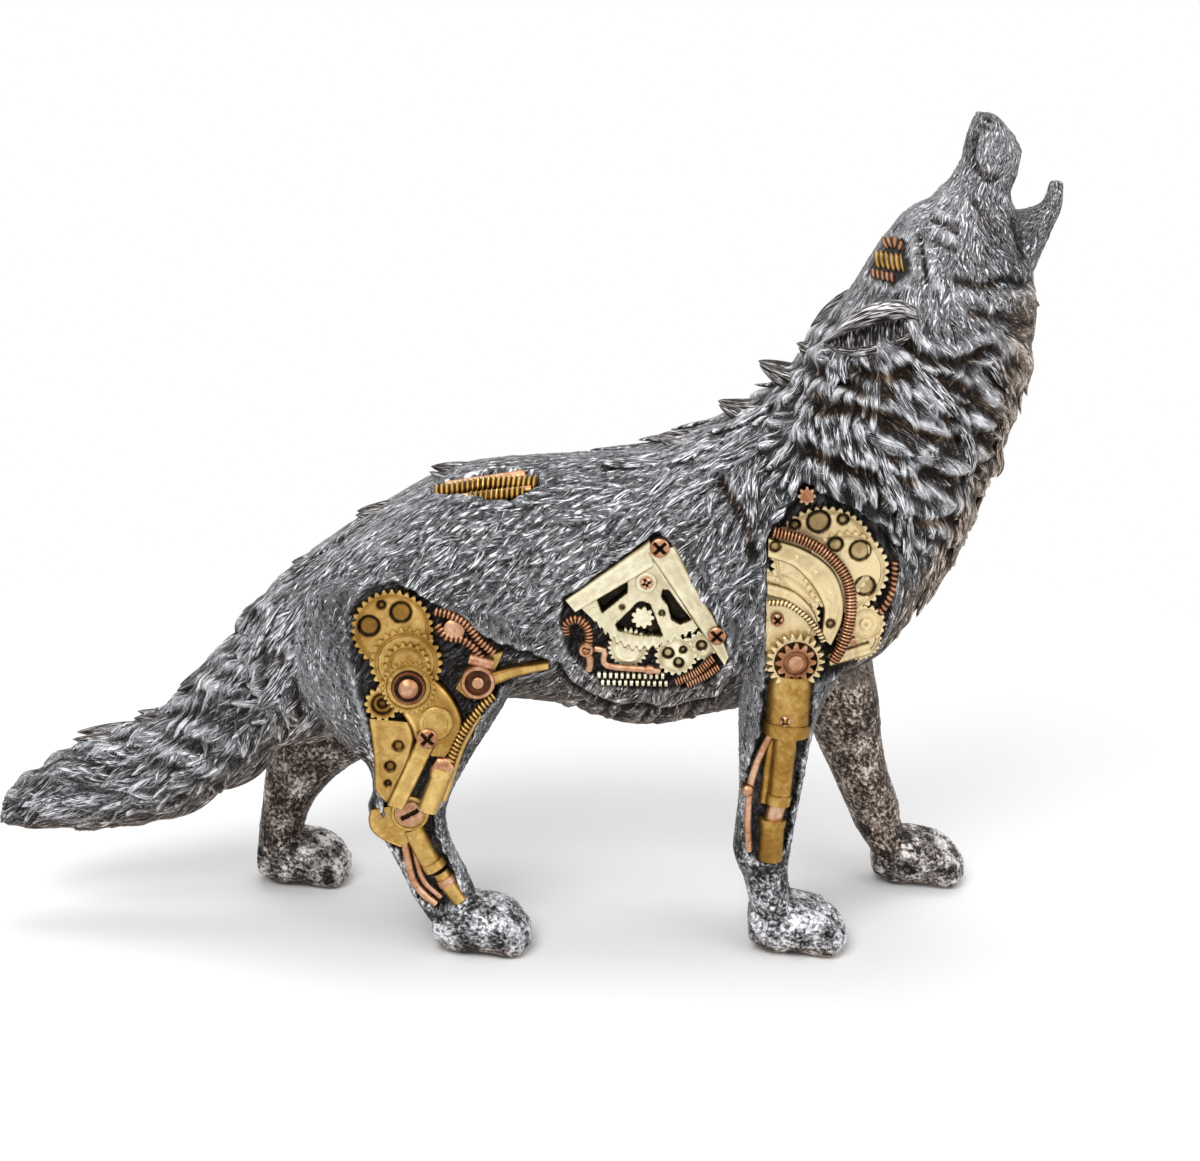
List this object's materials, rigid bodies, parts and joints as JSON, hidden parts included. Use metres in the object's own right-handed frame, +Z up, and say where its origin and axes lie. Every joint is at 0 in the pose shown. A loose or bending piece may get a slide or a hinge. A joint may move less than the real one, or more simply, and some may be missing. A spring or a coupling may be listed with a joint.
{
  "type": "steampunk howling wolf sculpture",
  "caption": "Standing wolf with raised head and open mouth, cast in one piece, with raised gears, plates, pipes and rods in windows in its near flank and legs.",
  "frame": {"origin": "on the ground plane under the soles, at the middle of the outline's box", "axes": "+X towards the wolf's nose, +Z up, the flank with the gears on -Y"},
  "size_m": [0.3115, 0.0813, 0.2435],
  "materials": {
    "silver_fur": "cast resin painted black and dry-brushed silver",
    "aged_gold": "aged brass paint with a dark wash",
    "aged_copper": "copper paint with a dark wash",
    "dark_recess": "matt black paint"
  },
  "bodies": {
    "root": {"wolf_casting": "silver_fur"}
  },
  "joints": []
}
